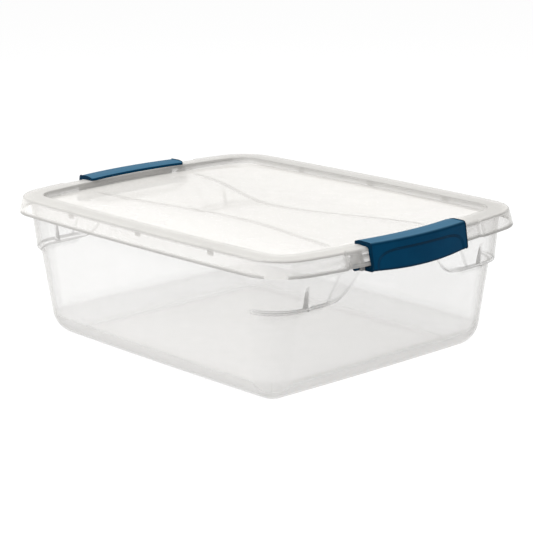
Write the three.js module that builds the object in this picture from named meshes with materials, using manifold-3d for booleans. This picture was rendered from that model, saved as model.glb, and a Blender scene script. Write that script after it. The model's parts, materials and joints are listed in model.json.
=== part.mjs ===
// Under-bed storage box: clear tub, clear press-on lid and two snap latches that are also its handles.
// Millimetres, +Z up. Origin at the centre of the footprint, on the surface that the tub stands on.
// The long axis is X, and the latches are at the two short ends.
import * as THREE from "three";
import { mergeVertices } from "three/addons/utils/BufferGeometryUtils.js";
import Module from "manifold-3d";

const wasm = await Module();
wasm.setup();

// ---- Overall sizes ----
const lidLength = 597; // over the skirt, at the middle of its bowed ends
const lidWidth = 450; // over the skirt, at the middle of its long sides
const boxHeight = 191; // floor to the lid's rim frame
const tubWall = 2;
const lidWall = 2;

// ---- Lid ----
const lidCornerRadius = 65;
const lidEndBow = 14;
const lidSideBow = 4;
const skirtDepth = 22;
const skirtFlare = 5.4; // how far the skirt leans out from top to bottom
const skirtShoulder = 2; // rounding between the rim frame and the skirt
const rimFrameWidth = 34; // skirt outline to the inner edge of the rim frame
const recessDepth = 9;
const recessDraft = 2.5;
const latchNotchDepth = 3.5; // the skirt steps in behind each latch
const latchNotchMargin = 37.5; // notch beyond each end of the latch
const notchBlend = 6;
const notchBevelRun = 2.5; // extra bevel that lets the latch lip swing past the rim frame
const insideCorner = 0.6; // fill between the rim frame and the skirt, inside
const locatingTabSpacing = 142;
const locatingTabWidth = 10;
const locatingTabDrop = 12;
const ridgeHeight = 2.4;
const ridgeWidth = 6;
const ridgeEndInset = 12; // from the recess edge to a ridge's end
const ridges = [
  { middle: 15, swing: 58, crest: 15, reach: 235 },
  { middle: -68, swing: -27, crest: 45, reach: 240 },
];

// ---- Tub ----
const endOverhang = 26; // lid skirt beyond the tub's end wall, at the rim
const sideOverhang = 12; // lid skirt beyond the tub's long wall, at the rim
const rimBow = 9; // bow of the end walls at the rim
const wallBow = 2; // bow of every wall lower down
const rimCornerRadius = 52;
const cornerTaper = 0.1; // corner radius lost per mm downwards
const sideDraft = 0.106; // inward lean per mm downwards
const endDraft = 0.155;
const shoulderDraft = 0.09; // lean of the corner shoulders, above their ledge
const shoulderStep = 9; // how far the shoulders stand out of the end wall
const shoulderDrop = 73; // rim frame down to the ledge under the corner shoulders
const ledgeRise = 3;
const handHoldBackSpread = 29.5; // flat back of the hand hold beyond the latch, at the ledge
const handHoldBackNarrowing = 67; // how much narrower the flat back is at the rim
const handHoldFaceSpread = 43.5; // shoulder faces beyond the latch, at the ledge
const handHoldFaceNarrowing = 41;
const handHoldCeilingDrop = 15; // rim frame down to where the hand hold has run out
const handHoldFlare = 20;
const floorFillet = 32;
const floorCornerRadius = 1; // smallest corner left on the flat of the floor
const floorThickness = 2.2;
const flangeThickness = 2.2;
const shoulderRibInset = 73; // rib centre to the outside of the lid skirt, across the box
const shoulderRibHeight = 30;
const shoulderRibThickness = 2;

// ---- Latches ----
const latchLength = 165;
const latchBow = 7.6; // its ends fall back behind its middle
const latchFootSag = 4; // the foot of its face is lower at the middle
const latchWall = 3;
const latchInnerRounding = 2; // inside corners at the foot and under the brow
const browDrop = 4; // lip's underside down to where the back of the face begins
const lipWall = 2.6;
const pivotInset = 21.5; // pin axis behind the skirt outline
const pivotDrop = 25; // pin axis below the rim frame
const lipReach = 30; // lip tip behind the skirt outline
const latchStandOff = 4.5; // latch face in front of the skirt outline, at the bottom
const latchFaceLean = 5; // the face leans in towards the top
const pinRadius = 4;
const pinReach = 14; // pin beyond each end of the latch
const lugGap = 3; // between the latch end and its lug
const lugThickness = 6;
const lugWrap = 3.5; // lug below the pin axis, so that the pin snaps in from below
const lugWall = 3;

// ---- Clearances ----
const seatGap = 0.3; // lid on the tub rim
const skirtClearance = 0.9; // tub rim inside the lid skirt
const lipClearance = 0.4; // lip tip above the rim frame, and its arc past the bevel
const skirtToLatch = 0.5; // least room between the skirt's foot and the back of the latch's face
const pinClearance = 0.4;
const tabClearance = 1;

// ---- Derived places ----
const halfLength = lidLength / 2;
const halfWidth = lidWidth / 2;
const skirtTop = boxHeight - skirtShoulder;
const skirtBottom = boxHeight - skirtDepth;
const rimTop = boxHeight - lidWall - seatGap;
const flangeUnderside = rimTop - flangeThickness;
const ledgeHeight = boxHeight - shoulderDrop;
const handHoldCeiling = boxHeight - handHoldCeilingDrop;
const pivotX = halfLength - pivotInset;
const pivotZ = boxHeight - pivotDrop;
const latchEnd = latchLength / 2;
const notchHalf = latchEnd + latchNotchMargin;
const lugStart = latchEnd + lugGap;
const latchFoot = pivotZ - pinRadius;
const lipSwing = Math.hypot(lipReach - pivotInset, pivotDrop + lipClearance); // pin axis to the lip
const latchInnerFoot = latchFoot + latchWall + latchInnerRounding;
const latchInnerTop = pivotZ + lipSwing - browDrop;
const shoulderRibY = halfWidth - shoulderRibInset;
const cornerSteps = 6;
const sideSteps = 5;
const overlap = 1; // how deep joined pieces are sunk into each other

const clearPlastic = (colour, roughness) => new THREE.MeshStandardMaterial({
  color: colour, roughness, metalness: 0, transparent: true, opacity: 0.4,
});
const materials = {
  tub: () => clearPlastic(0xe9e9e6, 0.28),
  lid: () => clearPlastic(0xecece9, 0.24),
  latch: () => new THREE.MeshStandardMaterial({ color: 0x0d4468, roughness: 0.38, metalness: 0 }),
};

const mix = (a, b, t) => a + (b - a) * t;
const clamp01 = (t) => Math.min(1, Math.max(0, t));
const smooth = (t) => clamp01(t) ** 2 * (3 - 2 * clamp01(t));

// A rounded rectangle whose four sides bow outwards, described by its sizes at one height.
const lidPlan = (inset) => ({
  halfX: halfLength - inset,
  halfY: halfWidth - inset,
  radius: lidCornerRadius - inset,
  bowX: lidEndBow,
  bowY: lidSideBow,
});

// The bowed side of half chord `chord`, grown outwards by the corner radius.
function bowArc(chord, bow, radius) {
  const arcRadius = (chord ** 2 + bow ** 2) / (2 * bow);
  return { arcRadius: arcRadius + radius, angle: Math.asin(chord / arcRadius) };
}

const bowDrop = (arcRadius, along) => arcRadius - Math.sqrt(arcRadius ** 2 - along ** 2);

// How far a plan outline falls back from its end, at a distance `y` from the long axis.
function endDrop(plan, y) {
  const chord = plan.halfY - plan.radius - plan.bowY;
  return bowDrop(bowArc(chord, plan.bowX, plan.radius).arcRadius, y);
}

// A quarter of the outline from the middle of the +X end to the middle of the +Y side.
// `stations` are the distances from the long axis where the end gets a point.
function quarterOutline(plan, stations) {
  const cornerX = plan.halfX - plan.radius - plan.bowX;
  const cornerY = plan.halfY - plan.radius - plan.bowY;
  const end = bowArc(cornerY, plan.bowX, plan.radius);
  const side = bowArc(cornerX, plan.bowY, plan.radius);
  const points = stations.map((y) => [plan.halfX - bowDrop(end.arcRadius, y), y]);
  for (let i = 0; i <= cornerSteps; i += 1) {
    const turn = mix(end.angle, Math.PI / 2 - side.angle, i / cornerSteps);
    points.push([cornerX + plan.radius * Math.cos(turn), cornerY + plan.radius * Math.sin(turn)]);
  }
  const sideEnd = side.arcRadius * Math.sin(side.angle);
  for (let i = 1; i <= sideSteps; i += 1) {
    const x = sideEnd * (1 - i / sideSteps);
    points.push([x, plan.halfY - bowDrop(side.arcRadius, x)]);
  }
  return points;
}

// The whole ring at height z, anticlockwise from above. `endShift` moves the end's points along X.
function ring(plan, z, stations, endShift = () => 0) {
  const quarter = quarterOutline(plan, stations);
  quarter.forEach((point, i) => {
    if (i < stations.length) point[0] += endShift(point[1]);
  });
  const back = [...quarter].reverse();
  const outline = [
    ...quarter,
    ...back.slice(1).map(([x, y]) => [-x, y]),
    ...quarter.slice(1).map(([x, y]) => [-x, -y]),
    ...back.slice(1, -1).map(([x, y]) => [x, -y]),
  ];
  return outline.map(([x, y]) => [x, y, z]);
}

// Triangles over a flat loop, all from a hub in its middle. `start` is the loop's first index.
const fanCap = (count, start, hub) => (
  Array.from({ length: count }, (_, i) => [hub, start + i, start + ((i + 1) % count)])
);

// A closed skin through loops of points, with a flat cap over the first and the last of them.
// `across` names the loops' own two axes (0 for X, 1 for Y, 2 for Z), in right-handed order with the
// direction that the first cap faces away from. Loops that see their own middle are capped by fans.
function loft(loops, across, fans) {
  const count = loops[0].length;
  const lastStart = (loops.length - 1) * count;
  const flat = (loop) => loop.map((point) => new THREE.Vector2(point[across[0]], point[across[1]]));
  const turned = THREE.ShapeUtils.isClockWise(flat(loops[0]));
  const faces = [];
  const addFace = (a, b, c) => faces.push(a, turned ? c : b, turned ? b : c);
  for (let start = 0; start < lastStart; start += count) {
    for (let i = 0; i < count; i += 1) {
      const here = start + i;
      const next = start + ((i + 1) % count);
      addFace(here, next, next + count);
      addFace(here, next + count, here + count);
    }
  }
  const points = loops.flat();
  if (fans) {
    const middle = (loop) => [0, 1, 2].map((axis) => loop.reduce((sum, p) => sum + p[axis], 0) / count);
    fanCap(count, 0, points.length).forEach(([hub, a, b]) => addFace(hub, b, a));
    fanCap(count, lastStart, points.length + 1).forEach(([hub, a, b]) => addFace(hub, a, b));
    points.push(middle(loops[0]), middle(loops.at(-1)));
  } else {
    THREE.ShapeUtils.triangulateShape(flat(loops[0]), []).forEach(([a, b, c]) => {
      faces.push(a, c, b);
      faces.push(lastStart + a, lastStart + b, lastStart + c);
    });
  }
  const geometry = new THREE.BufferGeometry();
  geometry.setAttribute("position", new THREE.Float32BufferAttribute(points.flat(), 3));
  geometry.setIndex(faces);
  return geometry;
}

function solid(geometry) {
  const bare = geometry.clone();
  bare.deleteAttribute("normal");
  bare.deleteAttribute("uv");
  const merged = mergeVertices(bare, 1e-4);
  return new wasm.Manifold(new wasm.Mesh({
    numProp: 3,
    vertProperties: new Float32Array(merged.attributes.position.array),
    triVerts: new Uint32Array(merged.index.array),
  }));
}

function meshGeometry(manifold) {
  const { vertProperties, triVerts } = manifold.getMesh();
  const geometry = new THREE.BufferGeometry();
  geometry.setAttribute("position", new THREE.Float32BufferAttribute(vertProperties, 3));
  geometry.setIndex(Array.from(triVerts));
  geometry.computeVertexNormals();
  return geometry;
}

// A profile in the X-Z plane, as [x, z] points, made `depth` thick along Y from y = start.
function slabAcross(profile, start, depth) {
  const shape = new THREE.Shape(profile.map(([x, z]) => new THREE.Vector2(x, z)));
  const geometry = new THREE.ExtrudeGeometry(shape, { depth, bevelEnabled: false });
  geometry.rotateX(Math.PI / 2);
  geometry.translate(0, start + depth, 0);
  return geometry;
}

function rodAcross(radius, start, length, x, z) {
  const rod = new THREE.CylinderGeometry(radius, radius, length, 24);
  rod.translate(x, start + length / 2, z);
  return rod;
}

function block(sizeX, sizeY, sizeZ, x, y, z) {
  return new THREE.BoxGeometry(sizeX, sizeY, sizeZ).translate(x, y, z);
}

// ---- Tub ----

const shoulderX = (z) => halfLength - endOverhang - (rimBow - wallBow) - shoulderDraft * (rimTop - z);
const lowerX = (z) => shoulderX(ledgeHeight) - shoulderStep - endDraft * (ledgeHeight - z);
const wallY = (z) => halfWidth - sideOverhang - sideDraft * (rimTop - z);
const wallRadius = (z) => rimCornerRadius - cornerTaper * (rimTop - z);
const rimSpread = (z) => smooth((z - handHoldCeiling + handHoldFlare) / handHoldFlare);

function tubPlan(z, inset, halfX, extraBow) {
  return {
    halfX: halfX - inset,
    halfY: wallY(z) - inset,
    radius: wallRadius(z) - inset,
    bowX: wallBow + extraBow,
    bowY: wallBow,
  };
}

const lowerPlan = (z, inset) => tubPlan(z, inset, lowerX(z), 0);

function shoulderPlan(z, inset) {
  const extraBow = (rimBow - wallBow) * rimSpread(z);
  return tubPlan(z, inset, shoulderX(z) + extraBow, extraBow);
}

// Half widths of the hand hold at height z: its flat back, and out to the shoulders' faces.
function handHold(z) {
  const climb = clamp01((z - ledgeHeight) / (rimTop - ledgeHeight));
  return {
    flat: latchEnd + handHoldBackSpread - handHoldBackNarrowing * Math.sqrt(climb),
    ramp: latchEnd + handHoldFaceSpread - handHoldFaceNarrowing * climb,
  };
}

function handHoldStations(z) {
  const { flat, ramp } = handHold(z);
  const past = (ramp + wallY(z) - wallRadius(z)) / 2;
  const climbs = [0.25, 0.5, 0.75].map((t) => mix(flat, ramp, t));
  return [0, flat / 3, (flat * 2) / 3, flat, ...climbs, ramp, past];
}

// The shoulder outline pushed back to the plain end wall over the hand hold.
function handHoldShift(z, inset) {
  const { flat, ramp } = handHold(z);
  const shoulder = shoulderPlan(z, inset);
  const lower = lowerPlan(z, inset);
  return (y) => {
    const gap = lower.halfX - endDrop(lower, y) - shoulder.halfX + endDrop(shoulder, y);
    const out = Math.max(smooth((y - flat) / (ramp - flat)), rimSpread(z));
    return gap * (1 - out);
  };
}

const lowerRing = (z, inset) => ring(lowerPlan(z, inset), z, handHoldStations(z));
const shoulderRing = (z, inset) => (
  ring(shoulderPlan(z, inset), z, handHoldStations(z), handHoldShift(z, inset))
);
const rimRing = (z, inset) => ring(shoulderPlan(z, inset), z, notchStations());

// How far the latch falls back behind its middle, at a distance `y` from the long axis.
const latchDrop = (y) => bowDrop((latchEnd ** 2 + latchBow ** 2) / (2 * latchBow), y);

// Back of the latch's face at a height z, at the long axis.
function latchInnerX(z) {
  const lean = clamp01((z - latchInnerFoot) / (latchInnerTop - latchInnerFoot));
  return halfLength + latchStandOff - latchWall - latchFaceLean * lean;
}

// Points at the latch notch, for outlines that follow the lid.
const notchStations = () => {
  const inner = notchHalf - notchBlend;
  const past = (notchHalf + halfWidth - lidCornerRadius) / 2;
  return [0, latchEnd / 2, latchEnd, inner - notchBlend, inner,
    mix(inner, notchHalf, 0.5), notchHalf, notchHalf + 1, past];
};
// How deep the notch is at a distance y from the long axis: more where the latch's own bow needs it.
const notchDepth = (y) => {
  const latchBack = latchInnerX(skirtBottom) - latchDrop(Math.min(y, latchEnd));
  return Math.max(latchNotchDepth, halfLength - endDrop(lidPlan(0), y) - latchBack + skirtToLatch);
};
const notchShift = (bevel) => (y) => (
  (notchDepth(y) + bevel) * (smooth((y - notchHalf + notchBlend) / notchBlend) - 1)
);
const noNotch = () => 0;
const skirtInset = (z) => (skirtFlare * (z - skirtBottom)) / (skirtTop - skirtBottom);

function flangeRing(z) {
  const inset = skirtInset(skirtTop) + lidWall + insideCorner + skirtClearance;
  return ring(lidPlan(inset), z, notchStations(), notchShift(notchBevelRun));
}

// One ring of the curve between the floor and the walls, `degrees` up round the curve.
function filletRing(degrees, inset, lift) {
  const centreZ = Math.min(floorFillet, wallRadius(0) - floorCornerRadius);
  const turn = THREE.MathUtils.degToRad(degrees);
  const z = centreZ - (centreZ - lift) * Math.cos(turn);
  const pull = (centreZ - inset) * (1 - Math.sin(turn));
  return ring(lowerPlan(z, inset + pull), z, handHoldStations(z));
}

// One face of the tub's wall, from the floor up, `inset` from the outside and lifted by the floor.
function wallRings(inset, lift) {
  const ledge = ledgeHeight + lift;
  const ledgeTop = ledgeHeight + ledgeRise + lift;
  const climbs = [0, 0.2, 0.4, 0.55, 0.7, 0.8, 0.9, 1];
  return [
    ...[0, 22.5, 45, 67.5, 90].map((degrees) => filletRing(degrees, inset, lift)),
    lowerRing((floorFillet + ledgeHeight) / 2, inset),
    lowerRing(ledge - 1, inset),
    ...climbs.map((t) => shoulderRing(mix(ledgeTop, handHoldCeiling, t), inset)),
  ];
}

function tubShell() {
  const outer = wallRings(0, 0);
  const inner = wallRings(tubWall, floorThickness).reverse();
  return loft([
    ...outer,
    rimRing(flangeUnderside, 0),
    flangeRing(flangeUnderside),
    flangeRing(rimTop),
    rimRing(rimTop, tubWall),
    ...inner,
  ], [0, 1], true);
}

// Outer face of the tub's end wall at the lugs, between the shoulders and the rim.
function lugWallX(z) {
  const plan = shoulderPlan(z, 0);
  return plan.halfX - endDrop(plan, lugStart);
}

// A snap-in bearing under the rim: the pin enters from below, through a mouth narrower than itself.
function latchLug() {
  const bottom = pivotZ - lugWrap;
  const outer = pivotX + pinRadius + pinClearance + lugWall;
  const top = flangeUnderside + flangeThickness / 2;
  const steps = [0, 0.25, 0.5, 0.75, 1].map((t) => mix(bottom, top, t));
  const profile = [
    [outer, bottom],
    [outer, pivotZ + pinRadius + pinClearance],
    [pivotX, top],
    ...steps.reverse().map((z) => [lugWallX(z) - tubWall / 2, z]),
  ];
  const bore = rodAcross(pinRadius + pinClearance, lugStart - 1, lugThickness + 2, pivotX, pivotZ);
  return solid(slabAcross(profile, lugStart, lugThickness)).subtract(solid(bore));
}

// A thin rib in the pocket of a shoulder, which keeps nested tubs from jamming.
function shoulderRib() {
  const foot = ledgeHeight + floorThickness;
  const top = foot + shoulderRibHeight;
  const outerX = (z) => shoulderPlan(z, 0).halfX - endDrop(shoulderPlan(z, 0), shoulderRibY) - tubWall / 2;
  const profile = [
    [lowerX(foot) - tubWall, foot - tubWall / 2],
    [outerX(foot + ledgeRise), foot - tubWall / 2],
    [outerX(foot + ledgeRise), foot + ledgeRise],
    [outerX(top), top],
    [outerX(top) - shoulderStep * 0.55, top - shoulderStep * 0.4],
  ];
  return solid(slabAcross(profile, shoulderRibY - shoulderRibThickness / 2, shoulderRibThickness));
}

// A solid at the +X +Y corner, repeated at all four corners.
function fourCorners(piece) {
  const ends = piece.add(piece.mirror([0, 1, 0]));
  return ends.add(ends.mirror([1, 0, 0]));
}

function tubGeometry() {
  const tub = solid(tubShell()).add(fourCorners(latchLug())).add(fourCorners(shoulderRib()));
  return meshGeometry(tub);
}

// ---- Lid ----

const lidRing = (inset, z, shift = notchShift(0)) => ring(lidPlan(inset), z, notchStations(), shift);

function lidShell() {
  const panelTop = boxHeight - recessDepth;
  const frameUnderside = boxHeight - lidWall;
  const underInset = skirtInset(skirtTop) + lidWall;
  const bevelled = notchShift(notchBevelRun);
  return loft([
    lidRing(rimFrameWidth + recessDraft - lidWall, panelTop - lidWall, noNotch),
    lidRing(rimFrameWidth - lidWall, frameUnderside, noNotch),
    lidRing(underInset + insideCorner, frameUnderside, bevelled),
    lidRing(underInset, frameUnderside - skirtShoulder),
    lidRing(skirtInset(skirtBottom) + lidWall, skirtBottom),
    lidRing(skirtInset(skirtBottom), skirtBottom),
    lidRing(skirtInset(skirtTop), skirtTop),
    lidRing(skirtInset(skirtTop) + skirtShoulder, boxHeight, bevelled),
    lidRing(rimFrameWidth, boxHeight, noNotch),
    lidRing(rimFrameWidth + recessDraft, panelTop, noNotch),
  ], [0, 1], true);
}

// Distance from the long axis to a ridge's crest: a wave that is closest to the axis at `crest`.
const ridgeY = (ridge, x) => ridge.middle + ridge.swing * smooth(Math.abs(x - ridge.crest) / ridge.reach);

function ridgeSolid(ridge) {
  const base = boxHeight - recessDepth - lidWall / 2;
  const top = boxHeight - recessDepth + ridgeHeight;
  const end = halfLength - lidEndBow - rimFrameWidth - recessDraft - ridgeEndInset;
  const steps = 28;
  const sections = [];
  for (let i = 0; i <= steps; i += 1) {
    const x = mix(-end, end, i / steps);
    const y = ridgeY(ridge, x);
    const taper = smooth((end - Math.abs(x)) / ridgeWidth);
    const crest = mix(boxHeight - recessDepth - lidWall / 4, top, taper);
    sections.push([
      [x, y - ridgeWidth / 2, base],
      [x, y + ridgeWidth / 2, base],
      [x, y + ridgeWidth / 5, crest],
      [x, y - ridgeWidth / 5, crest],
    ]);
  }
  return solid(loft(sections, [1, 2], true));
}

// Tabs under the rim frame that drop just inside the tub's long walls and centre the lid.
function locatingTabs() {
  const bottom = boxHeight - lidWall - locatingTabDrop;
  const height = locatingTabDrop + overlap;
  const outerY = wallY(bottom) - wallBow - tubWall - tabClearance;
  const tabs = [-1, 0, 1].flatMap((place) => [-1, 1].map((side) => solid(block(
    locatingTabWidth, lidWall, height,
    place * locatingTabSpacing, side * (outerY - lidWall / 2), bottom + height / 2,
  ))));
  return tabs.reduce((all, tab) => all.add(tab));
}

function lidGeometry() {
  const plain = solid(lidShell()).add(locatingTabs());
  return meshGeometry(ridges.reduce((lid, ridge) => lid.add(ridgeSolid(ridge)), plain));
}

// ---- Latches ----

// The latch's hooked section at the long axis, as [x, z] points and how much each follows the bow.
// `sag` is how far the foot of the face hangs below the pins' level.
function latchSection(sag) {
  const tipX = halfLength - lipReach;
  const tipZ = boxHeight + lipClearance;
  const startTurn = Math.atan2(tipX - pivotX, tipZ - pivotZ);
  const endTurn = -startTurn;
  const arch = [0, 0.25, 0.5, 0.75, 1].map((t) => {
    const turn = mix(startTurn, endTurn, t);
    return [pivotX + lipSwing * Math.sin(turn), pivotZ + lipSwing * Math.cos(turn), 1];
  });
  const lipTop = pivotZ + lipSwing + lipWall;
  const footX = halfLength + latchStandOff;
  const brow = footX - latchFaceLean;
  const shelf = latchFoot + latchWall;
  return [
    ...arch,
    [brow - latchWall - latchInnerRounding, tipZ, 1],
    [latchInnerX(latchInnerTop), latchInnerTop, 1],
    [latchInnerX(latchInnerFoot), latchInnerFoot - sag, 1],
    [footX - latchWall - latchInnerRounding, shelf - sag, 1],
    [pivotX + pinRadius * 0.6, shelf, 0],
    [pivotX, latchFoot, 0],
    [footX - 2, latchFoot - sag, 1],
    [footX, latchFoot + 2 - sag, 1],
    [brow, lipTop - 3, 1],
    [brow - 1, lipTop - 1, 1],
    [brow - 3, lipTop, 1],
    [pivotX, lipTop + 0.4, 1],
    [tipX + 1, tipZ + lipWall, 1],
    [tipX - 0.6, tipZ + lipWall / 2, 1],
  ];
}

function latchGeometry() {
  const steps = 12;
  const sections = [];
  for (let i = 0; i <= steps; i += 1) {
    const y = mix(-latchEnd, latchEnd, i / steps);
    const drop = latchDrop(y);
    const sag = latchFootSag * (1 - (y / latchEnd) ** 2);
    sections.push(latchSection(sag).map(([x, z, follows]) => [x - drop * follows, y, z]));
  }
  const bar = rodAcross(pinRadius, -latchEnd - pinReach, latchLength + 2 * pinReach, pivotX, pivotZ);
  return meshGeometry(solid(loft(sections, [2, 0], false)).add(solid(bar)));
}

// ---- Assembly ----

function piece(name, geometry, material) {
  const mesh = new THREE.Mesh(geometry, material);
  mesh.name = name;
  return mesh;
}

const box = new THREE.Group();
box.add(piece("tub", tubGeometry(), materials.tub()));
box.add(piece("lid", lidGeometry(), materials.lid()));
box.add(piece("latch_front", latchGeometry(), materials.latch()));
const backLatch = piece("latch_back", latchGeometry(), materials.latch());
backLatch.rotation.z = Math.PI;
box.add(backLatch);

export default box;
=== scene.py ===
"""Looks of the under-bed storage box: a clear tub, a clear press-on lid and two blue snap latches.

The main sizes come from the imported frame. What the frame doesn't give is a named value below, in
millimetres, and every mesh is turned into metres as it is made.
"""
import json
import math
from collections import namedtuple

import bmesh
import bpy
from mathutils import Matrix, Quaternion, Vector


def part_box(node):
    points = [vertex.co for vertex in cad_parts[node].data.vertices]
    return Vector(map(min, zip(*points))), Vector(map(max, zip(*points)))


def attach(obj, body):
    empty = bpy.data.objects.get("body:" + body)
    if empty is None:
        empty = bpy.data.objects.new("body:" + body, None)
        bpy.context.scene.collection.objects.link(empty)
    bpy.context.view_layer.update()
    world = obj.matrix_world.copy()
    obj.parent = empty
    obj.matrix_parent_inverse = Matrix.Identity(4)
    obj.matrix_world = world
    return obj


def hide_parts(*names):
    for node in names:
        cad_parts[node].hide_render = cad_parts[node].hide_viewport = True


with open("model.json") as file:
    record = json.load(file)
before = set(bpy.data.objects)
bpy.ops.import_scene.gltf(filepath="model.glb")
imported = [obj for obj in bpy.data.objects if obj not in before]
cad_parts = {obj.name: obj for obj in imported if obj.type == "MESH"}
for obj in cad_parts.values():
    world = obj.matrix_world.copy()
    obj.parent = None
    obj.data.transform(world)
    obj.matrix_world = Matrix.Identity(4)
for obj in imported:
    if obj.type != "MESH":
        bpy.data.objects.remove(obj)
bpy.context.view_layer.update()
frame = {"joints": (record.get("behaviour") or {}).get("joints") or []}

MM = 0.001

# ---- Sizes of the lid ----
LID_WALL = 2.0
CORNER_RADIUS = 65.0
END_BOW = 14.0
SIDE_BOW = 4.0
SKIRT_FLARE = 5.4  # how far the skirt leans out from top to bottom
INSIDE_CORNER = 0.6  # fill between the rim frame and the skirt, inside
UNDER_ROUND = 3.0  # rounding under the panel's edge
SHOULDER_ROUND = 3.2  # rounding between the rim frame and the skirt
FRAME_WIDTH = 34.0
RECESS_DEPTH = 9.0
RECESS_DRAFT = 2.5
RECESS_ROUND = 1.5  # roundings at the top and the foot of the recess's wall
NOTCH_DEPTH = 3.5  # the skirt steps in behind each latch
NOTCH_BEVEL = 2.5  # more of it at the top edge, where the latch's lip swings past
NOTCH_MARGIN = 37.5
NOTCH_BLEND = 6.0
RIDGE_HEIGHT = 2.4
RIDGE_WIDTH = 7.0
RIDGE_END_INSET = 12.0
TAB_SPACING = 142.0
TAB_WIDTH = 10.0
TAB_DROP = 12.0
TAB_CLEARANCE = 1.0

# ---- Sizes of the tub ----
TUB_WALL = 2.0
FLOOR = 2.2
END_OVERHANG = 26.0
SIDE_OVERHANG = 12.0
RIM_BOW = 9.0
WALL_BOW = 2.0
RIM_RADIUS = 52.0
CORNER_TAPER = 0.1
SIDE_DRAFT = 0.106
END_DRAFT = 0.155
SHOULDER_DRAFT = 0.09
SHOULDER_STEP = 9.0
SHOULDER_DROP = 73.0
LEDGE_RISE = 3.0
FLANGE = 2.2
FLANGE_GAP = 0.9  # between the flange's edge and the inside of the skirt
RIM_CURVE = 3.0  # bend between the wall and the flange, outside
RIM_CURVE_INSIDE = 1.5  # how much smaller it is inside
FLOOR_FILLET = 32.0
CEILING_DROP = 15.0
CEILING_FLARE = 20.0
HOLD_BACK_SPREAD = 29.5  # flat back of the hand hold beyond the latch, at the ledge
HOLD_BACK_NARROWING = 67.0  # how much narrower the flat back is at the rim
HOLD_FACE_SPREAD = 43.5  # shoulder faces beyond the latch, at the ledge
HOLD_FACE_NARROWING = 41.0
RIB_INSET = 73.0
RIB_HEIGHT = 30.0
RIB_WALL = 2.0

# ---- Sizes of the latches ----
PIN_RADIUS = 4.0
PIN_REACH = 14.0
LATCH_BOW = 7.6  # its ends fall back behind its middle
FOOT_SAG = 4.0  # the foot of its face is lower at the middle
SAG_HEIGHT = 30.0  # up the face, over which the sag dies away
SAG_REACH = 12.0  # out from the pins, over which the sag grows
BOW_REACH = 10.0  # out from the pins, over which the shelf takes up the bow
PIN_LAND = 2.0  # beyond the pins' axis, where neither has begun
LIP_ROOT = 11.0  # outwards from the pins, where the lip starts
LIP_CORNER = 5.0
LIP_CORNER_SHARE = 0.8  # of the corner's full round
PIN_CLEARANCE = 0.4
LIP_REACH = 30.0
LATCH_WALL = 3.0
LIP_WALL = 2.6
STAND_OFF = 4.5
FACE_LEAN = 5.0
LIP_CLEARANCE = 0.4
LUG_GAP = 3.0
LUG_WALL = 6.0  # along the pin
LUG_LIP = 3.0  # plastic left outside the bore
LUG_WRAP = 3.5

# ---- Places that the frame gives ----
lid_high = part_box("lid")[1] / MM
lid_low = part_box("lid")[0] / MM
tub_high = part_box("tub")[1] / MM
latch_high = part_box("latch_front")[1] / MM
hinge = next(joint for joint in frame["joints"] if joint["name"] == "latch_front_hinge")

HALF_LENGTH = lid_high.x + NOTCH_DEPTH
HALF_WIDTH = lid_high.y
FRAME_TOP = lid_high.z
SKIRT_BOTTOM = lid_low.z
RIM_TOP = tub_high.z
FLANGE_UNDERSIDE = RIM_TOP - FLANGE
LEDGE = FRAME_TOP - SHOULDER_DROP
CEILING = FRAME_TOP - CEILING_DROP
LATCH_END = latch_high.y - PIN_REACH
PIVOT_X = hinge["pos_m"][0] / MM
PIVOT_Z = hinge["pos_m"][2] / MM
NOTCH_HALF = LATCH_END + NOTCH_MARGIN

# ---- How finely the outlines are divided, for a quarter of the way round ----
BACK_STEPS = 22
RAMP_STEPS = 10
PAST_STEPS = 8
CORNER_STEPS = 18
SIDE_STEPS = 20
END_POINTS = BACK_STEPS + RAMP_STEPS + PAST_STEPS


def mix(a, b, t):
    return a + (b - a) * t


def clamp01(t):
    return min(1.0, max(0.0, t))


def smooth(t):
    t = clamp01(t)
    return t * t * (3 - 2 * t)


def crisp(t, soft=0.06):
    """A straight rise from 0 to 1, with its foot and its head rounded off over `soft`."""
    if t > 0.5:
        return 1 - crisp(1 - t, soft)
    if t < -soft:
        return 0.0
    return (t + soft) ** 2 / (4 * soft) if t < soft else t


def steps(first, last, count):
    """`count` even steps from first to last, both included."""
    return [mix(first, last, i / count) for i in range(count + 1)]


# ---- Outlines ----

Plan = namedtuple("Plan", "half_x half_y radius bow_x bow_y")


def bow_arc(chord, bow, radius):
    """Radius and half angle of a bowed side, grown outwards by the corner radius."""
    arc_radius = (chord**2 + bow**2) / (2 * bow)
    return arc_radius + radius, math.asin(chord / arc_radius)


def bow_drop(arc_radius, along):
    return arc_radius - math.sqrt(arc_radius**2 - along**2)


def end_drop(plan, y):
    """How far the outline falls back from its end, at a distance y from the long axis."""
    chord = plan.half_y - plan.radius - plan.bow_y
    return bow_drop(bow_arc(chord, plan.bow_x, plan.radius)[0], y)


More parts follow.
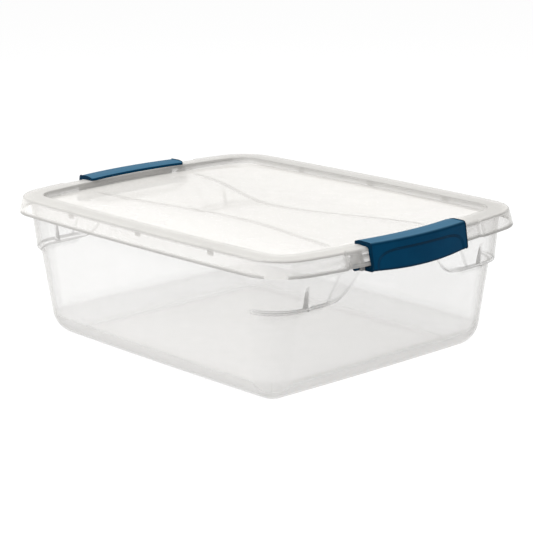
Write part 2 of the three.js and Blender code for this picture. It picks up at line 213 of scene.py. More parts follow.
def quarter(plan, breaks):
    """Points from the middle of the +X end to the middle of the +Y side.

    `breaks` are the two distances from the long axis between which the end has its ramp or notch.
    """
    corner_x = plan.half_x - plan.radius - plan.bow_x
    corner_y = plan.half_y - plan.radius - plan.bow_y
    end_radius, end_angle = bow_arc(corner_y, plan.bow_x, plan.radius)
    side_radius, side_angle = bow_arc(corner_x, plan.bow_y, plan.radius)
    first, second = breaks
    corner_start = corner_y + plan.radius * math.sin(end_angle)
    stations = [
        *steps(0, first, BACK_STEPS)[:-1],
        *steps(first, second, RAMP_STEPS)[:-1],
        *steps(second, corner_start, PAST_STEPS)[:-1],
    ]
    points = [Vector((plan.half_x - bow_drop(end_radius, y), y)) for y in stations]
    for turn in steps(end_angle, math.pi / 2 - side_angle, CORNER_STEPS):
        spoke = Vector((math.cos(turn), math.sin(turn)))
        points.append(Vector((corner_x, corner_y)) + plan.radius * spoke)
    side_end = side_radius * math.sin(side_angle)
    for x in steps(side_end, 0, SIDE_STEPS)[1:]:
        points.append(Vector((x, plan.half_y - bow_drop(side_radius, x))))
    return points


def ring(points, z):
    """The whole loop at height z, from a quarter of it, anticlockwise from above."""
    back = points[::-1]
    loop = [
        *((p.x, p.y) for p in points),
        *((-p.x, p.y) for p in back[1:]),
        *((-p.x, -p.y) for p in points[1:]),
        *((p.x, -p.y) for p in back[1:-1]),
    ]
    return [Vector((x, y, z)) for x, y in loop]


def toward(near, far, distance, z):
    """The loop `near` moved by `distance` towards the loop `far`, at height z."""
    moved = []
    for a, b in zip(near, far):
        way = Vector((b.x - a.x, b.y - a.y))
        moved.append(Vector((a.x, a.y)) + way.normalized() * min(distance, way.length * 0.95))
    return [Vector((p.x, p.y, z)) for p in moved]


def rounded(corners, arc_steps=6):
    """A closed outline with its corners rounded. Each corner is (x, z, radius)."""
    outline = []
    for i, (x, z, radius) in enumerate(corners):
        here = Vector((x, z))
        before = Vector(corners[i - 1][:2]) - here
        after = Vector(corners[(i + 1) % len(corners)][:2]) - here
        half = before.angle(after) / 2
        if radius == 0 or half > 1.55:
            outline.append(here)
            continue
        reach = min(radius / math.tan(half), before.length * 0.49, after.length * 0.49)
        true_radius = reach * math.tan(half)
        start = here + before.normalized() * reach
        end = here + after.normalized() * reach
        bisector = (before.normalized() + after.normalized()).normalized()
        centre = here + bisector * math.hypot(reach, true_radius)
        for t in steps(0, 1, arc_steps):
            spoke = (start - centre).slerp(end - centre, t).normalized()
            outline.append(centre + spoke * true_radius)
    return outline


def divided(outline, longest):
    """The closed outline with every stretch cut into pieces no longer than `longest`."""
    points = []
    for here, after in zip(outline, [*outline[1:], outline[0]]):
        count = max(1, math.ceil((after - here).length / longest))
        points.extend(here.lerp(after, i / count) for i in range(count))
    return points


def pulled_in(outline, distance):
    """The closed outline moved inwards. It runs anticlockwise, in its own two axes."""
    moved = []
    befores = [outline[-1], *outline[:-1]]
    afters = [*outline[1:], outline[0]]
    for before, here, after in zip(befores, outline, afters):
        way = (after - before).normalized()
        moved.append(here + Vector((-way.y, way.x)) * distance)
    return moved


# ---- Meshes ----


def new_object(name, bm):
    """A smooth-shaded object in metres from a bmesh in millimetres."""
    bmesh.ops.remove_doubles(bm, verts=bm.verts, dist=1e-4)
    bmesh.ops.recalc_face_normals(bm, faces=bm.faces)
    bmesh.ops.scale(bm, vec=Vector((MM, MM, MM)), verts=bm.verts)
    mesh = bpy.data.meshes.new(name)
    bm.to_mesh(mesh)
    bm.free()
    obj = bpy.data.objects.new(name, mesh)
    bpy.context.scene.collection.objects.link(obj)
    return obj


def loft(loops):
    """A closed skin through loops of points, with a flat face over the first and the last."""
    bm = bmesh.new()
    rows = [[bm.verts.new(point) for point in loop] for loop in loops]
    for low, high in zip(rows, rows[1:]):
        for i in range(len(low)):
            bm.faces.new((low[i - 1], low[i], high[i], high[i - 1]))
    bm.faces.new(rows[0][::-1])
    bm.faces.new(rows[-1])
    return bm


def slab(outline, start, depth, edge=0.35):
    """An outline in the X-Z plane made `depth` thick along Y, with its edges taken off."""
    inner = pulled_in(outline, edge)
    rows = [(inner, 0), (outline, edge), (outline, depth - edge), (inner, depth)]
    return loft([[Vector((p.x, start + y, p.y)) for p in line] for line, y in rows])


def joined(base, extras):
    """`base` with the closed meshes in `extras` united into it, as one clean skin."""
    for extra in extras:
        union = base.modifiers.new("union", "BOOLEAN")
        union.operation = "UNION"
        union.solver = "EXACT"
        union.object = extra
    depsgraph = bpy.context.evaluated_depsgraph_get()
    mesh = bpy.data.meshes.new_from_object(base.evaluated_get(depsgraph))
    base.modifiers.clear()
    base.data = mesh
    for extra in extras:
        bpy.data.objects.remove(extra)
    return base


def shaded(obj, sharp_above):
    """Smooth shading with creases kept where faces meet at more than `sharp_above` degrees."""
    obj.data.shade_smooth()
    obj.data.set_sharp_from_angle(angle=math.radians(sharp_above))
    weighted = obj.modifiers.new("weighted_normals", "WEIGHTED_NORMAL")
    weighted.keep_sharp = True
    return obj


FAINT_BEND = 0.08  # share of a bend that still shows on a plain face


def marked(obj, haze, plain):
    """Two values at each point for the material: how sharply the skin bends, and `haze` of its place.

    Where `plain` is true of the place, the bends are kept faint.
    """
    bm = bmesh.new()
    bm.from_mesh(obj.data)
    bend = bm.verts.layers.float.new("bend")
    hazy = bm.verts.layers.float.new("haze")
    for vert in bm.verts:
        place = vert.co / MM
        sharpest = max(edge.calc_face_angle(0) for edge in vert.link_edges)
        vert[bend] = sharpest * (FAINT_BEND if plain(place) else 1)
        vert[hazy] = haze(place)
    bm.to_mesh(obj.data)
    bm.free()
    return obj


def four_corners(name, make):
    """Copies at all four corners of what `make` builds at the +X +Y corner."""
    copies = []
    for side_x in (1, -1):
        for side_y in (1, -1):
            bm = make()
            bmesh.ops.scale(bm, vec=Vector((side_x, side_y, 1)), verts=bm.verts)
            copies.append(new_object(f"{name}_{len(copies)}", bm))
    return copies


# ---- Tub ----


def shoulder_x(z):
    return HALF_LENGTH - END_OVERHANG - (RIM_BOW - WALL_BOW) - SHOULDER_DRAFT * (RIM_TOP - z)


def lower_x(z):
    return shoulder_x(LEDGE) - SHOULDER_STEP - END_DRAFT * (LEDGE - z)


def wall_y(z):
    return HALF_WIDTH - SIDE_OVERHANG - SIDE_DRAFT * (RIM_TOP - z)


def wall_radius(z):
    return RIM_RADIUS - CORNER_TAPER * (RIM_TOP - z)


def rim_spread(z):
    """0 below the hand hold's ceiling, 1 where the wall has reached the bow of the rim."""
    return smooth((z - CEILING + CEILING_FLARE) / CEILING_FLARE)


def wall_plan(z, inset, half_x, extra_bow):
    half_y = wall_y(z) - inset
    return Plan(half_x - inset, half_y, wall_radius(z) - inset, WALL_BOW + extra_bow, WALL_BOW)


def lower_plan(z, inset):
    return wall_plan(z, inset, lower_x(z), 0)


def shoulder_plan(z, inset):
    extra_bow = (RIM_BOW - WALL_BOW) * rim_spread(z)
    return wall_plan(z, inset, shoulder_x(z) + extra_bow, extra_bow)


def hand_hold(z):
    """Half widths of the hand hold: its flat back, and out to the faces of the shoulders."""
    climb = clamp01((z - LEDGE) / (RIM_TOP - LEDGE))
    back = HOLD_BACK_SPREAD - HOLD_BACK_NARROWING * math.sqrt(climb)
    return LATCH_END + back, LATCH_END + HOLD_FACE_SPREAD - HOLD_FACE_NARROWING * climb


def notch_breaks():
    return NOTCH_HALF - NOTCH_BLEND, NOTCH_HALF


def wall_ring(z, inset, rise):
    """A loop of the wall: `rise` is 0 under the shoulders' ledge and 1 above it."""
    flat, ramp = hand_hold(z)
    spread = rim_spread(z)
    upward = smooth((z - CEILING) / (FLANGE_UNDERSIDE - CEILING))
    breaks = [mix(a, b, upward) for a, b in zip((flat, ramp), notch_breaks())]
    lower = quarter(lower_plan(z, inset), breaks)
    upper = quarter(shoulder_plan(z, inset), breaks)
    points = []
    for i, (under, over) in enumerate(zip(lower, upper)):
        out = max(crisp((over.y - flat) / (ramp - flat)), spread) if i < END_POINTS else 1
        points.append(under.lerp(over, out * rise))
    return ring(points, z)


def fillet_ring(turn, inset, lift):
    """A loop of the curve between the floor and the walls, `turn` radians up round the curve."""
    centre_z = FLOOR_FILLET
    z = centre_z - (centre_z - lift) * math.cos(turn)
    pull = (centre_z - inset) * (1 - math.sin(turn))
    return ring(quarter(lower_plan(z, inset + pull), hand_hold(z)), z)


def flange_ring(z, inset=0.0):
    edge = SKIRT_FLARE + LID_WALL + INSIDE_CORNER + FLANGE_GAP + inset
    return notched_ring(edge, z, NOTCH_DEPTH + NOTCH_BEVEL)


# Heights from the ledge, and how far out the wall has come by there.
LEDGE_PROFILE = [
    (-1.4, 0), (-0.5, 0.02), (0, 0.09), (0.7, 0.3),
    (2.2, 0.74), (3.0, 0.93), (3.9, 0.99), (5.2, 1),
]


def wall_rings(inset, lift):
    """One face of the wall from the floor up to where the rim turns out."""
    ledge = LEDGE + lift
    below = LEDGE_PROFILE[0][0]
    above = LEDGE_PROFILE[-1][0]
    top = FLANGE_UNDERSIDE - RIM_CURVE + (RIM_CURVE_INSIDE if lift else 0)
    return [
        *(fillet_ring(turn, inset, lift) for turn in steps(0, math.pi / 2, 12)),
        *(wall_ring(z, inset, 0) for z in steps(FLOOR_FILLET, ledge + below, 8)[1:-1]),
        *(wall_ring(ledge + z, inset, rise) for z, rise in LEDGE_PROFILE),
        *(wall_ring(z, inset, 1) for z in steps(ledge + above, CEILING, 12)[1:]),
        *(wall_ring(z, inset, 1) for z in steps(CEILING, top, 4)[1:]),
    ]


def rim_rings(outer_wall, inner_wall):
    """The flange, from the outside of the wall round its edge to the inside of the wall."""
    out = RIM_CURVE
    edge = flange_ring(FLANGE_UNDERSIDE)
    half = FLANGE / 2
    rings = []
    for turn in steps(0, math.pi / 2, 5)[1:]:
        z = FLANGE_UNDERSIDE - out + out * math.sin(turn)
        rings.append(toward(outer_wall, edge, out * (1 - math.cos(turn)), z))
    for turn in steps(-math.pi / 2, math.pi / 2, 8):
        z = FLANGE_UNDERSIDE + half + half * math.sin(turn)
        rings.append(flange_ring(z, half * (1 - math.cos(turn))))
    drop = RIM_TOP - inner_wall[0].z
    for turn in steps(math.pi / 2, 0, 5)[:-1]:
        z = RIM_TOP - drop + drop * math.sin(turn)
        rings.append(toward(inner_wall, edge, drop * (1 - math.cos(turn)), z))
    return rings


def lug():
    """A snap-in bearing under the rim. Its bore is open below, through a mouth narrower than the pin."""
    bore = PIN_RADIUS + PIN_CLEARANCE
    bottom = PIVOT_Z - LUG_WRAP
    outer = PIVOT_X + bore + LUG_LIP
    near = LATCH_END + LUG_GAP
    top = FLANGE_UNDERSIDE + FLANGE / 2
    mouth = math.acos(LUG_WRAP / bore)
    arc = steps(-math.pi / 2 - mouth, -math.pi / 2 + mouth - 2 * math.pi, 28)
    outline = [
        Vector((outer, bottom)),
        Vector((outer, PIVOT_Z + bore)),
        Vector((PIVOT_X, top)),
        Vector((wall_at(top, near) - TUB_WALL / 2, top)),
        Vector((wall_at(bottom, near) - TUB_WALL / 2, bottom)),
        *(Vector((PIVOT_X + bore * math.cos(turn), PIVOT_Z + bore * math.sin(turn))) for turn in arc),
    ]
    return slab(outline, near, LUG_WALL)


def wall_at(z, y):
    """Outside of the end wall's shoulder at a height and a distance from the long axis."""
    plan = shoulder_plan(z, 0)
    return plan.half_x - end_drop(plan, y)


def shoulder_rib():
    """A thin upright rib in the pocket of a shoulder, with a round head."""
    y = HALF_WIDTH - RIB_INSET
    foot = LEDGE + FLOOR - 1
    top = LEDGE + FLOOR + RIB_HEIGHT
    outer_low = wall_at(foot + LEDGE_RISE + 1, y) - TUB_WALL / 2
    outer_top = wall_at(top, y) - TUB_WALL / 2
    inner = lower_x(foot) - TUB_WALL - end_drop(lower_plan(foot, 0), y)
    outline = rounded([
        (inner, foot, 0),
        (outer_low, foot, 0),
        (outer_low, foot + LEDGE_RISE + 1, 0),
        (outer_top, top, 0),
        (outer_top - 6, top - 2, 5),
    ])
    return slab(outline, y - RIB_WALL / 2, RIB_WALL)


def floor_haze(place):
    """The thick floor and its curve up into the walls are hazier than the walls."""
    return smooth((FLOOR_FILLET + 4 - place.z) / 5)


def in_rib(place):
    return abs(abs(place.y) - HALF_WIDTH + RIB_INSET) < RIB_WALL and LEDGE + FLOOR < place.z < CEILING


def make_tub():
    outer = wall_rings(0, 0)
    inner = wall_rings(TUB_WALL, FLOOR)
    shell = loft([*outer, *rim_rings(outer[-1], inner[-1]), *inner[::-1]])
    extras = four_corners("lug", lug) + four_corners("rib", shoulder_rib)
    tub = joined(new_object("clear_tub", shell), extras)
    return shaded(marked(tub, floor_haze, in_rib), 32)


# ---- Lid ----


def notched_ring(inset, z, depth):
    """A loop that follows the lid's outline and steps in by `depth` behind the latches."""
    plan = Plan(HALF_LENGTH - inset, HALF_WIDTH - inset, CORNER_RADIUS - inset, END_BOW, SIDE_BOW)
    points = quarter(plan, notch_breaks())
    for point in points[:END_POINTS]:
        point.x += depth * (smooth((point.y - NOTCH_HALF + NOTCH_BLEND) / NOTCH_BLEND) - 1)
    return ring(points, z)


def skirt_inset(z):
    return SKIRT_FLARE * (z - SKIRT_BOTTOM) / (FRAME_TOP - 2 - SKIRT_BOTTOM)


def lid_rings():
    """Loops of the lid's skin, from under the panel round the skirt's edge to the top of the panel."""
    panel = FRAME_TOP - RECESS_DEPTH
    under_frame = FRAME_TOP - LID_WALL
    half_wall = LID_WALL / 2
    shoulder = SHOULDER_ROUND
    edge = RECESS_ROUND
    foot = SKIRT_BOTTOM + half_wall
    rings = []
    for turn in steps(0, math.pi / 2, 5):
        inset = FRAME_WIDTH + RECESS_DRAFT + 1 - UNDER_ROUND * math.sin(turn)
        z = panel - LID_WALL + UNDER_ROUND * (1 - math.cos(turn))
        rings.append(notched_ring(inset, z, 0))
    rings.append(notched_ring(FRAME_WIDTH - LID_WALL + 1, under_frame - 2, 0))
    rings.append(notched_ring(FRAME_WIDTH - LID_WALL - 1, under_frame, 0))
    for turn in steps(0, math.pi / 2, 4):
        inset = skirt_inset(under_frame) + LID_WALL + 1 - math.sin(turn)
        depth = mix(NOTCH_DEPTH + NOTCH_BEVEL, NOTCH_DEPTH, turn / (math.pi / 2))
        rings.append(notched_ring(inset, under_frame - 1 + math.cos(turn), depth))
    for z in steps(under_frame - 1, foot, 4)[1:]:
        rings.append(notched_ring(skirt_inset(z) + LID_WALL, z, NOTCH_DEPTH))
    for turn in steps(0, math.pi, 6)[1:]:
        inset = half_wall + half_wall * math.cos(turn)
        rings.append(notched_ring(inset, foot - half_wall * math.sin(turn), NOTCH_DEPTH))
    for z in steps(foot, FRAME_TOP - shoulder, 5)[1:]:
        rings.append(notched_ring(skirt_inset(z), z, NOTCH_DEPTH))
    for turn in steps(0, math.pi / 2, 6)[1:]:
        inset = skirt_inset(FRAME_TOP - shoulder) + shoulder * (1 - math.cos(turn))
        depth = mix(NOTCH_DEPTH, NOTCH_DEPTH + NOTCH_BEVEL, turn / (math.pi / 2))
        rings.append(notched_ring(inset, FRAME_TOP - shoulder + shoulder * math.sin(turn), depth))
    for turn in steps(0, math.pi / 2, 4):
        inset = FRAME_WIDTH - edge + edge * math.sin(turn)
        rings.append(notched_ring(inset, FRAME_TOP - edge * (1 - math.cos(turn)), 0))
    for turn in steps(0, math.pi / 2, 4):
        inset = FRAME_WIDTH + RECESS_DRAFT - edge + edge * (1 - math.cos(turn))
        rings.append(notched_ring(inset, panel + edge * (1 - math.sin(turn)), 0))
    return rings


RIDGES = [(15, 58, 15, 235), (-68, -27, 45, 240)]  # middle, swing, crest's place and reach


def ridge_y(ridge, x):
    middle, swing, crest, reach = ridge
    return middle + swing * smooth(abs(x - crest) / reach)


def ridge_bar(ridge):
    """A low rounded bead that runs along the panel in a wave and fades into it at both ends."""
    base = FRAME_TOP - RECESS_DEPTH - LID_WALL / 2
    end = HALF_LENGTH - END_BOW - FRAME_WIDTH - RECESS_DRAFT - RIDGE_END_INSET
    sections = []
    half = RIDGE_WIDTH / 2
    for x in steps(-end, end, 120):
        lift = mix(0.3, LID_WALL / 2 + RIDGE_HEIGHT, smooth((end - abs(x)) / 14))
        y = ridge_y(ridge, x)
        arch = [
            Vector((x, y + half * math.cos(turn), base + lift * math.sin(turn) ** 0.8))
            for turn in steps(0.05, math.pi - 0.05, 10)
        ]
        sections.append([Vector((x, y + half, base)), *arch, Vector((x, y - half, base))])
    return loft(sections)


def locating_tab(place, side):
    """A tab under the rim frame that drops just inside a long wall and centres the lid."""
    bottom = FRAME_TOP - LID_WALL - TAB_DROP
    outer = wall_y(bottom) - WALL_BOW - TUB_WALL - TAB_CLEARANCE
    bm = bmesh.new()
    bmesh.ops.create_cube(bm, size=1)
    size = Vector((TAB_WIDTH, LID_WALL, TAB_DROP + 1))
    bmesh.ops.scale(bm, vec=size, verts=bm.verts)
    middle = Vector((place * TAB_SPACING, side * (outer - LID_WALL / 2), bottom + size.z / 2))
    bmesh.ops.translate(bm, vec=middle, verts=bm.verts)
    bmesh.ops.bevel(bm, geom=bm.edges[:], offset=0.5, segments=2, affect="EDGES")
    return bm


PANEL_FROST = 0.35


def over_panel(place):
    """True on the panel and its ridges, where the frame and its draft are left behind."""
    panel = FRAME_TOP - RECESS_DEPTH
    inside = HALF_LENGTH - END_BOW - abs(place.x) > 15 and HALF_WIDTH - abs(place.y) > 15
    return inside and panel - LID_WALL - 0.2 < place.z < panel + RIDGE_HEIGHT + 0.3


def in_tab_or_ridge_foot(place):
    in_tab = place.z < FRAME_TOP - LID_WALL - 0.5 and 11 < HALF_WIDTH - abs(place.y) < FRAME_WIDTH - 5
    return in_tab or over_panel(place) and abs(place.z - FRAME_TOP + RECESS_DEPTH) < 0.5


def frame_frost(place):
    """The rim frame, the skirt and the tabs are finely frosted, and the panel is clearer."""
    return PANEL_FROST if over_panel(place) else 1.0


def make_lid():
    extras = [new_object(f"ridge_{i}", ridge_bar(ridge)) for i, ridge in enumerate(RIDGES)]
    for place in (-1, 0, 1):
        for side in (-1, 1):
            extras.append(new_object(f"tab_{place}_{side}", locating_tab(place, side)))
    lid = joined(new_object("clear_lid", loft(lid_rings())), extras)
    return shaded(marked(lid, frame_frost, in_tab_or_ridge_foot), 32)


# ---- Latches ----

PANEL_HALF = 76.0  # half length of the sunk panel on a latch's face
PANEL_HEIGHT = 24.0
PANEL_DEPTH = 0.9
PANEL_EDGE = 1.6


def latch_section():
    """The hooked section at the long axis, anticlockwise in X-Z.

    The lip's underside is an arc about the pin.
    """
    tip = Vector((HALF_LENGTH - LIP_REACH, FRAME_TOP + LIP_CLEARANCE))
    spoke = tip - Vector((PIVOT_X, PIVOT_Z))
    start = math.atan2(spoke.x, spoke.y)
    arch = [
        (PIVOT_X + spoke.length * math.sin(turn), PIVOT_Z + spoke.length * math.cos(turn), 0)
        for turn in steps(start, -start, 10)
    ]
    lip_top = PIVOT_Z + spoke.length + LIP_WALL
    foot_x = HALF_LENGTH + STAND_OFF
    brow = foot_x - FACE_LEAN
    foot = PIVOT_Z - PIN_RADIUS
    shelf = foot + LATCH_WALL
    clockwise = rounded([
        *arch,
        (brow - LATCH_WALL - 0.4, lip_top - LIP_WALL - 1.6, 3),
        (foot_x - LATCH_WALL, shelf, 2.5),
        (PIVOT_X + PIN_RADIUS * 0.6, shelf, 0),
        (PIVOT_X, foot, 0),
        (foot_x + 0.2, foot, 2.6),
        (brow, lip_top + 0.1, 3.6),
        (PIVOT_X, lip_top + 0.4, 60),
        (tip.x - 0.4, tip.y + LIP_WALL + 0.3, 1.3),
        (tip.x - 0.2, tip.y - 0.1, 0.5),
    ])
    return divided(clockwise, 1.0)[::-1]


def latch_point(point, y):
    """Where a point of the section goes at a distance y along the latch."""
    x, z = point
    bow_fall = bow_drop((LATCH_END**2 + LATCH_BOW**2) / (2 * LATCH_BOW), y)
    foot = PIVOT_Z - PIN_RADIUS
    beyond = x - PIVOT_X - PIN_LAND
    low = clamp01(1 - (z - foot) / SAG_HEIGHT) * smooth(beyond / SAG_REACH)
    sag = FOOT_SAG * (1 - (y / LATCH_END) ** 2) * low
    follows = 1.0 if z > PIVOT_Z + 6 else smooth(beyond / BOW_REACH)
    lip_root = PIVOT_X + LIP_ROOT
    corner = LIP_CORNER
    past = max(0.0, abs(y) - LATCH_END + corner)
    if z > FRAME_TOP - 2 and x < lip_root:
        shorter = (corner - math.sqrt(max(0.0, corner**2 - past**2))) * LIP_CORNER_SHARE
        x = lip_root + (x - lip_root) * (1 - shorter / (lip_root - HALF_LENGTH + LIP_REACH))
    if x > HALF_LENGTH - 2.5 and z < FRAME_TOP:
        reach = (abs(y) / PANEL_HALF) ** 6 + max(0.0, (z - PIVOT_Z + PIN_RADIUS) / PANEL_HEIGHT) ** 3
        x -= PANEL_DEPTH * smooth((1 - reach**0.25) * PANEL_HEIGHT / PANEL_EDGE)
    return Vector((x - bow_fall * follows, y, z - sag))


def latch_body():
    section = latch_section()
    edge = 1.0
    turns = steps(0, math.pi / 2, 3)[:-1]
    ends = [(LATCH_END - edge * (1 - math.cos(turn)), edge * (1 - math.sin(turn))) for turn in turns]
    along = [
        *((-y, inset) for y, inset in ends),
        *((y, 0) for y in steps(-LATCH_END + edge, LATCH_END - edge, 150)),
        *ends[::-1],
    ]
    loops = []
    for y, inset in along:
        outline = pulled_in(section, inset) if inset else section
        loops.append([latch_point(point, y) for point in outline])
    return loft(loops)


def pin_bar():
    """The round bar along the foot, whose two ends are the pins that turn in the lugs."""
    half = LATCH_END + PIN_REACH
    chamfer = 0.8
    stations = [(-half, PIN_RADIUS - chamfer), (-half + chamfer, PIN_RADIUS)]
    stations += [(-y, radius) for y, radius in stations[::-1]]
    around = steps(0, 2 * math.pi, 40)[:-1]
    spokes = [Vector((math.cos(turn), 0, math.sin(turn))) for turn in around]
    return loft([
        [Vector((PIVOT_X, y, PIVOT_Z)) + radius * spoke for spoke in spokes]
        for y, radius in stations
    ])


def no_haze(place):
    return 0.0


def nowhere(place):
    return False


def make_latch(name, turn):
    latch = joined(new_object(name, latch_body()), [new_object("pin_bar", pin_bar())])
    latch.data.transform(Matrix.Rotation(turn, 4, "Z"))
    return shaded(marked(latch, no_haze, nowhere), 38)


# ---- Materials ----


def add_node(nodes, kind, values=(), **settings):
    node = nodes.new(kind)
    for key, value in settings.items():
        setattr(node, key, value)
    for socket, value in dict(values).items():
        node.inputs[socket].default_value = value
    return node


SLANT_POWER = 2.2
FLOW_SWING = (0.88, 1.12)  # the flow marks' least and greatest share of the haze
CREASE_BENDS = (0.06, 0.4)  # from the first bend that shows to the sharpest, in radians
CREASE_SHARE = 0.5  # how dense the sharpest bend is
# The darker colour at the bends is painted shade.
CREASE_SHADE = 0.5  # how dark it is, as a share of the plastic's own colour


def clear_plastic(name, colour, open_share, edge_share, haze_share, roughness=0.3):
    """Milky clear plastic: mostly see-through head on, denser at a slant, at bends and where hazy, with
    painted shade darkening its colour at the bends.
    """
    material = bpy.data.materials.new(name)
    material.use_nodes = True
    tree = material.node_tree
    nodes = tree.nodes
    links = tree.links
    nodes.clear()
    output = add_node(nodes, "ShaderNodeOutputMaterial")
    place = add_node(nodes, "ShaderNodeTexCoord")

    # Slow flow marks of the moulding vary the haze, and fine grain gives the gloss its texture.
    flow = add_node(nodes, "ShaderNodeTexNoise", {
        "Scale": 7.0, "Detail": 3.0, "Roughness": 0.55, "Distortion": 0.6,
    })
    grain = add_node(nodes, "ShaderNodeTexNoise", {"Scale": 420.0, "Detail": 2.0, "Roughness": 0.6})
    for texture in (flow, grain):
        links.new(place.outputs["Object"], texture.inputs["Vector"])

    def combined(kind, first, second, clamp=False):
        node = add_node(nodes, "ShaderNodeMath", operation=kind, use_clamp=clamp)
        links.new(first, node.inputs[0])
        links.new(second, node.inputs[1])
        return node.outputs[0]

    def ranged(value, low, high, out_low, out_high):
        node = add_node(nodes, "ShaderNodeMapRange", {
            "From Min": low, "From Max": high, "To Min": out_low, "To Max": out_high,
        })
        links.new(value, node.inputs["Value"])
        return node.outputs["Result"]

    slant = add_node(nodes, "ShaderNodeLayerWeight", {"Blend": 0.5})
    curve = add_node(nodes, "ShaderNodeMath", {1: SLANT_POWER}, operation="POWER")
    links.new(slant.outputs["Facing"], curve.inputs[0])
    bend = add_node(nodes, "ShaderNodeAttribute", attribute_name="bend")
    haze = add_node(nodes, "ShaderNodeAttribute", attribute_name="haze")
    dense = ranged(curve.outputs[0], 0, 1, open_share, edge_share)
    share = combined("MULTIPLY", dense, ranged(flow.outputs["Fac"], 0.3, 0.7, *FLOW_SWING))
    crease = ranged(bend.outputs["Fac"], *CREASE_BENDS, 0.0, CREASE_SHARE)
    share = combined("ADD", share, crease)
    share = combined("ADD", share, ranged(haze.outputs["Fac"], 0, 1, 0, haze_share), clamp=True)

    # Painted shade: the plastic's colour darkens towards the sharpest bends.
    tint = add_node(nodes, "ShaderNodeValToRGB")
    tint.color_ramp.elements[0].position = 0.0
    tint.color_ramp.elements[0].color = (*colour, 1)
    tint.color_ramp.elements[1].position = CREASE_SHARE
    tint.color_ramp.elements[1].color = (*(c * CREASE_SHADE for c in colour), 1)
    links.new(crease, tint.inputs["Fac"])

    fine = add_node(nodes, "ShaderNodeBump", {"Strength": 0.05, "Distance": 0.0002})
    links.new(grain.outputs["Fac"], fine.inputs["Height"])
    body = add_node(nodes, "ShaderNodeBsdfPrincipled", {"IOR": 1.49})
    links.new(tint.outputs["Color"], body.inputs["Base Color"])
    gloss = ranged(grain.outputs["Fac"], 0, 1, roughness - 0.05, roughness + 0.07)
    links.new(gloss, body.inputs["Roughness"])
    links.new(fine.outputs["Normal"], body.inputs["Normal"])
    through = add_node(nodes, "ShaderNodeBsdfTransparent", {"Color": (1, 1, 1, 1)})
    blend = add_node(nodes, "ShaderNodeMixShader")
    links.new(share, blend.inputs["Fac"])
    links.new(through.outputs[0], blend.inputs[1])
    links.new(body.outputs[0], blend.inputs[2])
    links.new(blend.outputs[0], output.inputs["Surface"])
    return material


LIP_TONE = (0.055, 0.15, 0.23, 1)


def blue_plastic(name):
    """Satin moulded plastic in a deep teal blue, with a fine grain and a gloss that varies a little."""
    material = bpy.data.materials.new(name)
    material.use_nodes = True
    tree = material.node_tree
    nodes = tree.nodes
    links = tree.links
    body = nodes["Principled BSDF"]
    body.inputs["Specular IOR Level"].default_value = 0.03
    place = add_node(nodes, "ShaderNodeTexCoord")
    flow = add_node(nodes, "ShaderNodeTexNoise", {"Scale": 26.0, "Detail": 3.0, "Roughness": 0.55})
    grain = add_node(nodes, "ShaderNodeTexNoise", {"Scale": 900.0, "Detail": 2.0, "Roughness": 0.6})
    for texture in (flow, grain):
        links.new(place.outputs["Object"], texture.inputs["Vector"])
    tint = add_node(nodes, "ShaderNodeValToRGB")
    tint.color_ramp.elements[0].position = 0.3
    tint.color_ramp.elements[0].color = (0.0003, 0.036, 0.086, 1)
    tint.color_ramp.elements[1].position = 0.7
    tint.color_ramp.elements[1].color = (0.0005, 0.044, 0.102, 1)
    links.new(flow.outputs["Fac"], tint.inputs["Fac"])

    # The sheen along the top of the lip is painted on: what faces up at rest is paler, on both
    # latches alike and from every side. The roundings and the edge of the sunk panel are painted darker,
    # as shade.
    split = add_node(nodes, "ShaderNodeSeparateXYZ")
    links.new(place.outputs["Normal"], split.inputs[0])
    upward = add_node(nodes, "ShaderNodeMapRange", {
        "From Min": 0.7, "From Max": 0.97, "To Min": 0.0, "To Max": 0.65,
    })
    links.new(split.outputs["Z"], upward.inputs["Value"])
    paler = add_node(nodes, "ShaderNodeMix", data_type="RGBA")
    paler.inputs["B"].default_value = LIP_TONE
    links.new(upward.outputs["Result"], paler.inputs["Factor"])
    links.new(tint.outputs["Color"], paler.inputs["A"])
    # Painted shade: sharp bends are coloured darker.
    bend = add_node(nodes, "ShaderNodeAttribute", attribute_name="bend")
    dark = add_node(nodes, "ShaderNodeMapRange", {
        "From Min": 0.05, "From Max": 0.3, "To Min": 1.0, "To Max": 0.5,
    })
    links.new(bend.outputs["Fac"], dark.inputs["Value"])
    coloured = add_node(nodes, "ShaderNodeVectorMath", operation="SCALE")
    links.new(paler.outputs["Result"], coloured.inputs[0])
    links.new(dark.outputs["Result"], coloured.inputs["Scale"])
    links.new(coloured.outputs["Vector"], body.inputs["Base Color"])
    gloss = add_node(nodes, "ShaderNodeMapRange", {"To Min": 0.33, "To Max": 0.46})
    links.new(flow.outputs["Fac"], gloss.inputs["Value"])
    links.new(gloss.outputs["Result"], body.inputs["Roughness"])
    bump = add_node(nodes, "ShaderNodeBump", {"Strength": 0.18, "Distance": 0.00025})
    links.new(grain.outputs["Fac"], bump.inputs["Height"])
    links.new(bump.outputs["Normal"], body.inputs["Normal"])
    return material


# ---- Stage ----

VIEW_AZIMUTH = 48.7
VIEW_ELEVATION = 14.43
VIEW_ROLL = -0.99
VIEW_DISTANCE = 2.479
VIEW_TARGET = Vector((0, 0, 0.1))
VIEW_LENS = 125.1
VIEW_SHIFT = 0.0098
FLOOR_GAP = 0.6  # millimetres between the box and the floor's face, so that the two don't coincide
FLOOR_REACH = 8000.0  # from the middle of the floor to its edge


def toward_camera(azimuth, elevation):
    """The direction from the object to something at this azimuth and elevation, in degrees."""
    a, e = math.radians(azimuth), math.radians(elevation)
    return Vector((math.sin(a) * math.cos(e), -math.cos(a) * math.cos(e), math.sin(e)))


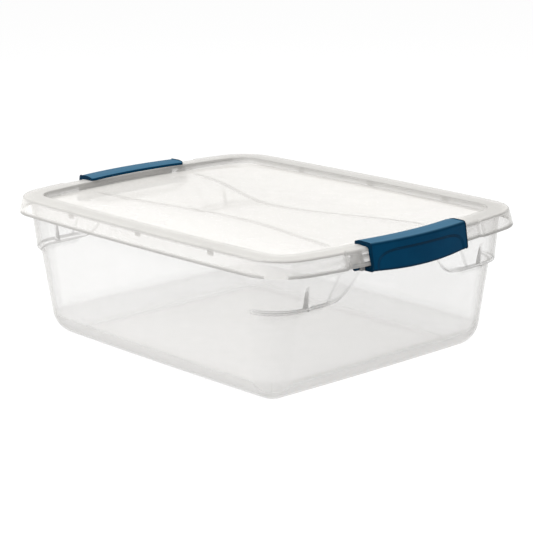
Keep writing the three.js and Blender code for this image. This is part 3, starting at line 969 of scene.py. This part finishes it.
def add_camera():
    data = bpy.data.cameras.new("camera")
    data.lens = VIEW_LENS
    data.sensor_width = 36
    data.shift_x = VIEW_SHIFT
    camera = bpy.data.objects.new("camera", data)
    bpy.context.scene.collection.objects.link(camera)
    back = toward_camera(VIEW_AZIMUTH, VIEW_ELEVATION)
    camera.location = VIEW_TARGET + back * VIEW_DISTANCE
    camera.rotation_mode = "QUATERNION"
    roll = Quaternion((0, 0, 1), math.radians(VIEW_ROLL))
    camera.rotation_quaternion = (-back).to_track_quat("-Z", "Y") @ roll
    bpy.context.scene.camera = camera


def add_softbox(name, azimuth, elevation, distance, size, power):
    data = bpy.data.lights.new(name, "AREA")
    data.shape = "RECTANGLE"
    data.size, data.size_y = size
    data.energy = power
    light = bpy.data.objects.new(name, data)
    bpy.context.scene.collection.objects.link(light)
    back = toward_camera(azimuth, elevation)
    light.location = VIEW_TARGET + back * distance
    light.rotation_mode = "QUATERNION"
    light.rotation_quaternion = (-back).to_track_quat("-Z", "Y")


def add_world():
    """An even pale studio: pure white to the eye, and dimmer as a light."""
    world = bpy.data.worlds.new("studio")
    bpy.context.scene.world = world
    world.use_nodes = True
    nodes = world.node_tree.nodes
    links = world.node_tree.links
    nodes.clear()
    output = add_node(nodes, "ShaderNodeOutputWorld")
    seen = add_node(nodes, "ShaderNodeBackground", {"Color": (1, 1, 1, 1), "Strength": 1.0})
    lit = add_node(nodes, "ShaderNodeBackground", {"Color": (1, 0.995, 0.985, 1), "Strength": 0.42})
    path = add_node(nodes, "ShaderNodeLightPath")
    blend = add_node(nodes, "ShaderNodeMixShader")
    links.new(path.outputs["Is Camera Ray"], blend.inputs["Fac"])
    links.new(lit.outputs[0], blend.inputs[1])
    links.new(seen.outputs[0], blend.inputs[2])
    links.new(blend.outputs[0], output.inputs["Surface"])


def add_floor():
    """A plain white sweep that glows by itself, so that it stays nearly white under soft shadows."""
    bm = bmesh.new()
    bmesh.ops.create_grid(bm, x_segments=1, y_segments=1, size=FLOOR_REACH)
    bmesh.ops.translate(bm, vec=Vector((0, 0, -FLOOR_GAP)), verts=bm.verts)
    floor = new_object("floor", bm)
    material = bpy.data.materials.new("white_sweep")
    material.use_nodes = True
    body = material.node_tree.nodes["Principled BSDF"]
    body.inputs["Base Color"].default_value = (0.12, 0.12, 0.12, 1)
    body.inputs["Roughness"].default_value = 1.0
    body.inputs["Specular IOR Level"].default_value = 0.0
    body.inputs["Emission Color"].default_value = (1, 1, 1, 1)
    body.inputs["Emission Strength"].default_value = 0.92
    floor.data.materials.append(material)


def set_light_paths():
    scene = bpy.context.scene
    scene.view_settings.view_transform = "Standard"
    scene.cycles.transparent_max_bounces = 48
    scene.cycles.max_bounces = 8


# ---- The object ----

add_camera()
set_light_paths()
add_world()
add_floor()
add_softbox("overhead", 20, 82, 2.2, (2.4, 2.0), 57)
add_softbox("window", -20, 35, 2.6, (1.6, 1.6), 40)
add_softbox("fill", 110, 25, 2.8, (1.4, 1.4), 3)
add_softbox("rear", 226, 19, 3.0, (2.4, 1.0), 1.0)

clear = clear_plastic("tub_plastic", (0.69, 0.68, 0.664), 0.075, 0.62, 0.06)
clear_lid = clear_plastic("lid_plastic", (0.735, 0.72, 0.692), 0.06, 0.64, 0.14, roughness=0.24)
blue = blue_plastic("latch_plastic")

PIECES = [
    (make_tub(), "tub", "clear_tub", clear),
    (make_lid(), "lid", "clear_lid", clear_lid),
    (make_latch("blue_latch_front", 0), "latch_front", "blue_latch", blue),
    (make_latch("blue_latch_back", math.pi), "latch_back", "blue_latch", blue),
]
for piece, body, slot, material in PIECES:
    piece.data.materials.clear()
    piece.data.materials.append(material)
    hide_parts(body)
    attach(piece, body)
